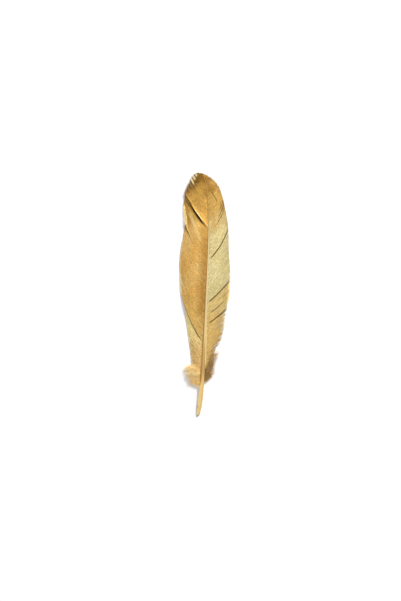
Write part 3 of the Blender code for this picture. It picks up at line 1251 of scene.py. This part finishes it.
@dataclass
class Studio:
    """Pale floor, soft light from the upper right, and a camera that looks straight down.

    Sizes are in metres, and pixel is how much of the feather one of the picture's shows.
    Centre_pixel is where the feather's middle is in the picture.
    """

    floor_size: float = 12.0
    floor_below: float = 0.00003
    floor_colour: Colour = (0.92, 0.92, 0.92, 1.0)
    floor_roughness: float = 0.9
    pixel: float = 0.72 * MM
    image_width: int = 401
    image_height: int = 601
    centre_pixel: Range = (205.0, 294.0)
    lens: float = 85.0
    sensor: float = 36.0
    key_place: tuple[float, float, float] = (0.75, 0.92, 1.23)
    key_size: float = 0.42
    key_watts: float = 28.0
    key_colour: tuple[float, float, float] = (1.0, 0.98, 0.95)
    room_colour: Colour = (0.98, 0.985, 1.0, 1.0)
    room_low: float = 0.35
    room_high: float = 0.78

    def add_floor(self) -> None:
        """Lay a plain pale floor just under the feather."""
        half = self.floor_size / 2.0
        low = feather_foot().z - self.floor_below
        corners = [(x * half, y * half, low) for x, y in ((-1, -1), (1, -1), (1, 1), (-1, 1))]
        data = bpy.data.meshes.new("floor")
        data.from_pydata(corners, [], [(0, 1, 2, 3)])
        floor = bpy.data.objects.new("floor", data)
        bpy.context.scene.collection.objects.link(floor)
        paper = NodeSheet("floor_paper").finish(self.floor_colour, self.floor_roughness, {})
        data.materials.append(paper)

    def add_light(self) -> None:
        """Hang one soft square light that points at the feather."""
        lamp = bpy.data.lights.new("key", "AREA")
        lamp.energy = self.key_watts
        lamp.size = self.key_size
        lamp.color = self.key_colour
        item = bpy.data.objects.new("key", lamp)
        item.location = self.key_place
        item.rotation_euler = (-Vector(self.key_place)).to_track_quat("-Z", "Y").to_euler()
        bpy.context.scene.collection.objects.link(item)

    def add_world(self) -> None:
        """Put pale surroundings round it, brighter overhead than at the horizon."""
        world = bpy.data.worlds.new("pale_room")
        world.use_nodes = True
        tree = world.node_tree
        split = tree.nodes.new("ShaderNodeSeparateXYZ")
        tree.links.new(tree.nodes.new("ShaderNodeTexCoord").outputs["Generated"], split.inputs[0])
        level = tree.nodes.new("ShaderNodeMapRange")
        level.inputs["To Min"].default_value = self.room_low
        level.inputs["To Max"].default_value = self.room_high
        tree.links.new(split.outputs["Z"], level.inputs["Value"])
        back = tree.nodes["Background"]
        back.inputs["Color"].default_value = self.room_colour
        tree.links.new(level.outputs["Result"], back.inputs["Strength"])
        bpy.context.scene.world = world

    def add_camera(self) -> None:
        """Look straight down with the photograph's framing."""
        data = bpy.data.cameras.new("camera")
        data.lens = self.lens
        data.sensor_width = self.sensor
        data.sensor_fit = "AUTO"
        camera = bpy.data.objects.new("camera", data)
        low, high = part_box(NODE)
        beside = self.image_width / 2.0 - self.centre_pixel[0]
        below = self.image_height / 2.0 - self.centre_pixel[1]
        camera.location = (
            (low.x + high.x) / 2.0 + beside * self.pixel,
            (low.y + high.y) / 2.0 - below * self.pixel,
            self.image_height * self.pixel * self.lens / self.sensor,
        )
        bpy.context.scene.collection.objects.link(camera)
        bpy.context.scene.camera = camera

    def build(self) -> None:
        """Set up the studio."""
        self.add_camera()
        self.add_floor()
        self.add_light()
        self.add_world()
        bpy.context.scene.view_settings.view_transform = "Standard"


SHAFT = Shaft(
    offset=Curve(((0, -5), (15, -3), (29, -1.95), (47, -1.1), (90, 0.95), (112, 1.9),
                  (137, 2.5), (155, 2), (166, 0.7), (175, -1.8))),
    lift=Curve(((0, 0.3), (5, 0), (12, 0.4), (32, 2), (60, 3.7), (95, 4.6), (130, 4),
                (155, 2.5), (175, 0.8))),
    width=Curve(((0, 1.9), (3, 2.6), (8, 3.15), (30, 3.1), (42, 2.8), (60, 2.2), (90, 1.8),
                 (118, 1.2), (140, 0.8), (175, 0.5))),
    depth=Curve(((0, 1.9), (3, 2.6), (8, 3.1), (42, 3), (60, 2.7), (90, 2.3), (118, 1.8),
                 (140, 1.35), (175, 0.7))),
)

RIGHT_VANE = Web(
    name="right_vane",
    side=Side.RIGHT,
    margin=Margin((
        (33, 3.4, 36), (38, 6.6, 43), (43.6, 8.8, 49.6), (45, 10.8, 52), (52, 13.6, 60.5),
        (64.4, 16.3, 77.5), (71, 17.9, 86.5), (80, 18.6, 98.5), (95, 17.5, 118),
        (110.5, 16.9, 135.5), (125, 14.9, 148), (139, 12.9, 157.4), (151, 10.3, 164.6),
        (161, 7.2, 168.9), (168, 3.4, 171.9), (173, -2.2, 174.5),
    )),
    drop=0.08,
    lift=Curve(((33, 0.2), (64, 0), (140, 0), (173, 0.1))),
    edge=Curve(((33, 1.2), (56, 0), (128, 0), (150, 0.5), (173, 0.7))),
    first=33,
    last=173.3,
    # Splits, whose lips get painted shade.
    splits=(
        Split(44.2, 0.55, 1.1),
        Split(64.4, 0.16, 0.07, shadow_width=0.46, end=0.97),
        Split(71, 0.2, 0.05, shadow=0.9, shadow_width=0.42, end=0.82),
        Split(74.6, 0.62, 0.04, shadow=0.6, end=0.9),
        Split(80, 0.08, 0.07, shadow_width=0.58),
        Split(110.5, 0.08, 0.07, shadow_width=0.66),
        Split(129.4, 0.4, 0.15, 0.8, shadow_width=0.5),
        Split(132.4, 0.5, 0.15, 0.8, shadow_width=0.5),
        Split(136.2, 0.62, 0.15, 0.8, shadow_width=0.45),
    ),
    small_splits=34,
    # Painted shade in a crease near the tip, then painted highlights on two stretches of the
    # margin.
    strokes=(
        Stroke((4.5, 160.8), (8.6, 154.3), 0.42, -0.8),
        Stroke((17.8, 98), (17.1, 90.8), 0.6, 0.7),
        Stroke((17, 87.5), (16, 79.2), 0.6, 0.7),
    ),
    rows=30,
    bow=Curve(((33, 0.11), (60, 0.045), (76, 0.06), (92, 0.13), (173, 0.11))),
    fray=Curve(((33, 0.4), (44, 0.3), (58, 0.2), (66, 0.08), (76, 0.02), (120, 0.01), (173, 0.05))),
    stray=Curve(((33, 0.9), (44, 0.7), (58, 0.6), (66, 0.25), (75, 0.04), (150, 0.03),
                 (173, 0.25))),
    # Painted highlight on the barb ends along the margin.
    tips=Curve(((33, 0.3), (50, 0.3), (57, 0.8), (64, 1), (82, 1), (92, 0.2), (173, 0.15))),
    tip_share=0.07,
    # Painted highlight on the barbs beside the shaft.
    base=Curve(((33, 0), (34.5, 0.1), (38, 0.6), (50, 0.6), (70, 0.35), (95, 0), (173, 0))),
    seed=31,
)

LEFT_MAIN = Web(
    name="left_main_web",
    side=Side.LEFT,
    margin=Margin((
        (51, -17.8, 91), (62, -18.2, 98.5), (75, -18.7, 109), (90, -17.9, 120.5),
        (102, -16.2, 129.5), (110, -14.6, 139.5),
    )),
    lift=Curve(((51, 0.35), (53, 0.2), (60, 0), (110, 0))),
    curl=Curve(((51, 0.5), (60, 0.5), (75, 0.3), (110, 0.1))),
    curl_start=0.88,
    first=51,
    last=110.3,
    small_splits=12,
    fray=Curve(((51, 0.005), (90, 0.015), (110, 0.01))),
    stray=flat(0.04),
    # Painted shade along the lowest barbs, where the web stands over the lower web, and along the
    # highest barbs, beside the crease.
    streaks=(
        Streak(51, 1, 0.02, 1.2, -0.85),
        Streak(110.6, 1.1, 0.66, 1.2, -0.75, 0.15),
    ),
    # Painted shade in the crease, then a painted highlight on a fold near the margin.
    strokes=(
        Stroke((-15.7, 139), (-10.9, 129.8), 0.75, -1),
        Stroke((-18.4, 102), (-16.4, 94.5), 0.65, 0.85),
        Stroke((-16.4, 94.5), (-13.4, 85.5), 0.5, 0.45),
    ),
    # Painted highlight on the barb ends along the margin.
    tips=Curve(((51, 0.9), (57, 1), (64, 0.8), (88, 0.7), (110, 0.2))),
    tip_share=0.12,
    tip_low=0.45,
    seed=33,
)

LEFT_MIDDLE = Web(
    name="left_middle_web",
    side=Side.LEFT,
    margin=Margin((
        (110.6, -14.9, 139.2), (116, -15.4, 146.5), (124, -15.9, 152.5), (132.2, -14.4, 162),
    )),
    drop=0.03,
    lift=Curve(((110.6, 0), (124, 0), (129.5, -0.4), (132.2, -1.15))),
    edge=flat(0.2),
    curl=Curve(((110.6, 1.7), (118, 1.5), (124, 0.7), (132.2, 0))),
    first=110.5,
    last=134,
    bow=Curve(((110.5, 0.11), (124, 0.11), (132.2, 0.06))),
    lift_run=0.35,
    lip=Lip(0.9, 4, 0.6, 0.3),
    small_splits=7,
    fray=flat(0.02),
    stray=flat(0.05),
    # Painted shade on the highest barbs, in the trough under the tip web's raised edge.
    streaks=(Streak(132.4, 2.1, 0.1, 0.9, -0.95, 0.25),),
    # Painted highlights on the curled margin and on a fold, then painted shade by the slit.
    strokes=(
        Stroke((-15.4, 150.5), (-13.6, 138), 1.15, 0.62),
        Stroke((-10.8, 145.1), (-4, 126.4), 1.5, 0.46),
        Stroke((-14.4, 155.5), (-10.9, 150), 0.4, -0.55),
    ),
    tips=flat(0.1),
    seed=37,
)

LEFT_TIP = Web(
    name="left_tip_web",
    side=Side.LEFT,
    margin=Margin((
        (132.8, -15.9, 159.6), (142, -13.6, 165.5), (152, -11.2, 170.3), (160, -9.4, 173),
        (167, -7.3, 174.6), (172.5, -4.2, 174.95), (173.4, -2.9, 174.8),
    )),
    lift=Curve(((134.2, 1.6), (135.2, 1.1), (138, 0.6), (144, 0.2), (155, 0.1), (172.5, 0.1))),
    edge=Curve(((132.8, 0.8), (150, 0.4), (172.5, 0.7))),
    first=134.2,
    last=173.2,
    bow=Curve(((134.2, 0.035), (140, 0.07), (150, 0.11))),
    splits=(
        Split(146, 0.8, 0.3, 1.2, 0.5),
        Split(152, 0.72, 0.6, 1.2),
        Split(158, 0.62, 0.9, 1.2),
        Split(163.5, 0.6, 0.9, 1),
    ),
    small_splits=14,
    fray=Curve(((132.8, 0.02), (145, 0.04), (172.5, 0.07))),
    stray=Curve(((132.8, 0.05), (150, 0.1), (172.5, 0.18))),
    # A painted highlight on the raised lowest barbs over the slit, and painted shade further out
    # along them.
    streaks=(
        Streak(134.2, 0.42, 0.14, 0.62, 0.9, 0.15),
        Streak(134.3, 1, 0.55, 1.1, -0.9, 0.2),
    ),
    # Painted highlight on the fringe's barb ends, in waves that dip into painted shade.
    tips=Curve(((132.8, 0), (146, 0.1), (150, 0.4), (155, 1), (170, 1), (172.5, 0.7))),
    tip_share=0.3,
    tip_low=-0.8,
    tip_wave=6,
    seed=41,
)

LEFT_LOWER = Web(
    name="left_lower_web",
    side=Side.LEFT,
    margin=Margin((
        (31, -9.2, 34), (35, -10.6, 42.5), (41, -12.1, 56), (46, -14.1, 72),
        (50.4, -15, 86.5),
    )),
    drop=0.05,
    edge=Curve(((31, 0.3), (38, 0), (50.4, 0))),
    curl=Curve(((31, 0), (38, 0.3), (50.4, 0.5))),
    curl_start=0.86,
    first=31,
    last=51.6,
    small_splits=8,
    fray=Curve(((31, 0.3), (36, 0.12), (42, 0.03), (50.4, 0.01))),
    stray=Curve(((31, 0.8), (36, 0.4), (42, 0.08), (50.4, 0.05))),
    # Painted highlight on the barb ends along the lower web's margin.
    tips=Curve(((31, 0.2), (43, 0.8), (50.4, 1))),
    tip_share=0.2,
    seed=43,
)

LEFT_DOWN = Tuft(
    name="left_down",
    side=Side.LEFT,
    margin=Margin((
        (22, -7.4, 23), (24, -11.4, 21.2), (26, -14.4, 23.2), (28, -17, 27.4),
        (30, -18.7, 32.6), (33, -17.2, 37),
    )),
    drop=0.9,
    lift=Curve(((22, 0.5), (27, 1.6), (33, 0.7))),
    edge=Curve(((22, 0.5), (27, 0.9), (33, 0.6))),
    first=22,
    last=33,
    bow=Curve(((22, -0.3), (28, -0.34), (33, -0.1))),
    clumps=30,
    seed=47,
)

RIGHT_DOWN = Tuft(
    name="right_down",
    side=Side.RIGHT,
    margin=Margin((
        (25, 3.4, 27.5), (28, 7, 30), (32, 9.8, 34), (36, 11.2, 39), (43, 12, 46.5),
    )),
    drop=1.1,
    lift=Curve(((25, 0.3), (32, 1), (43, 0.1))),
    edge=Curve(((25, 0.5), (32, 0.7), (43, 0.3))),
    first=25,
    last=43.5,
    bow=flat(0.1),
    clumps=28,
    seed=53,
)

# Darker gold towards the tip of both vanes.
DARK_TIP_GOLD = (0.235, 0.115, 0.013, 1.0)

LEFT_GOLD = VanePaint(
    name="gold_paint_left",
    main=(0.77, 0.44, 0.11, 1.0),
    pale=(0.80, 0.53, 0.175, 1.0),
    # A strong deep tone beside the shaft: partly the paint's own tone, partly painted shade from
    # the shaft's ridge.
    deep=(0.41, 0.20, 0.033, 1.0),
    deep_reach=0.38,
    deep_from=-0.014,
    bands=(
        Band((0.75, 0.475, 0.13, 1.0), 0.004, -0.016),
        Band((0.69, 0.445, 0.145, 1.0), -0.016, -0.032),
        Band((0.53, 0.30, 0.062, 1.0), 0.040, 0.060),
        Band(DARK_TIP_GOLD, 0.066, 0.081),
    ),
)

# The right vane's paler, greyer gold is painted sheen, for the vane that faces the light.
RIGHT_SHEEN_GOLD = VanePaint(
    name="gold_paint_right_painted_sheen",
    main=(0.565, 0.465, 0.21, 1.0),
    pale=(0.61, 0.52, 0.26, 1.0),
    deep=(0.55, 0.37, 0.13, 1.0),
    deep_reach=0.02,
    bands=(
        Band((0.60, 0.435, 0.165, 1.0), 80.6, 79.6, Measure.ROOT),
        Band((0.59, 0.385, 0.12, 1.0), -0.006, -0.024),
        Band((0.46, 0.275, 0.065, 1.0), 0.040, 0.062),
        Band(DARK_TIP_GOLD, 0.068, 0.084),
    ),
)

# The lower web's paler gold is painted light, for the other angle at which it lies.
LOWER_LIT_GOLD = VanePaint(
    name="gold_paint_lower_painted_light",
    main=(1.0, 0.80, 0.34, 1.0),
    pale=(1.0, 0.87, 0.43, 1.0),
    deep=(0.66, 0.41, 0.13, 1.0),
    deep_reach=0.1,
    bands=(Band((0.80, 0.53, 0.20, 1.0), -0.026, -0.040),),
)

PALE_DUST = DownPaint("dusted_down_left", (1.0, 0.84, 0.46, 1.0), (1.0, 0.68, 0.24, 1.0))
DARK_DUST = DownPaint("dusted_down_right", (0.60, 0.39, 0.15, 1.0), (0.42, 0.25, 0.07, 1.0))


@dataclass
class Feather:
    """The whole feather: shaft, vanes and down, each built and dressed in turn."""

    shaft: Shaft
    horn: HornPaint
    growths: tuple[tuple[Web | Tuft, VanePaint | DownPaint], ...]

    def finish_piece(self, piece: Object, material: Material) -> None:
        """Dress one piece, hang it on the body and report it.

        Args:
            piece: the mesh object.
            material: what it is dressed in.
        """
        data = piece.data
        data.materials.append(material)
        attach(piece, BODY)
        log.info("%s: %d vertices, %d faces", piece.name, len(data.vertices), len(data.polygons))

    def build(self) -> None:
        """Build every piece. The shaft's piece stands for the solid feather."""
        stem = self.shaft.build()
        self.finish_piece(stem, self.horn.material())
        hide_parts(NODE)
        finishes: dict[str, Material] = {}
        for growth, paint in self.growths:
            if paint.name not in finishes:
                finishes[paint.name] = paint.material()
            self.finish_piece(growth.build(self.shaft), finishes[paint.name])


def save_sizes() -> None:
    """Update the view layer after building."""
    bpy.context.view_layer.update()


def main() -> None:
    """Build the studio and the feather in order, and report each piece."""
    logging.basicConfig(level=logging.INFO, format="%(name)s: %(message)s")
    Studio().build()
    feather = Feather(
        shaft=SHAFT,
        horn=HornPaint(),
        growths=(
            (RIGHT_VANE, RIGHT_SHEEN_GOLD),
            (LEFT_MAIN, LEFT_GOLD),
            (LEFT_MIDDLE, LEFT_GOLD),
            (LEFT_TIP, LEFT_GOLD),
            (LEFT_LOWER, LOWER_LIT_GOLD),
            (LEFT_DOWN, PALE_DUST),
            (RIGHT_DOWN, DARK_DUST),
        ),
    )
    feather.build()
    save_sizes()


if __name__ == "__main__":
    main()
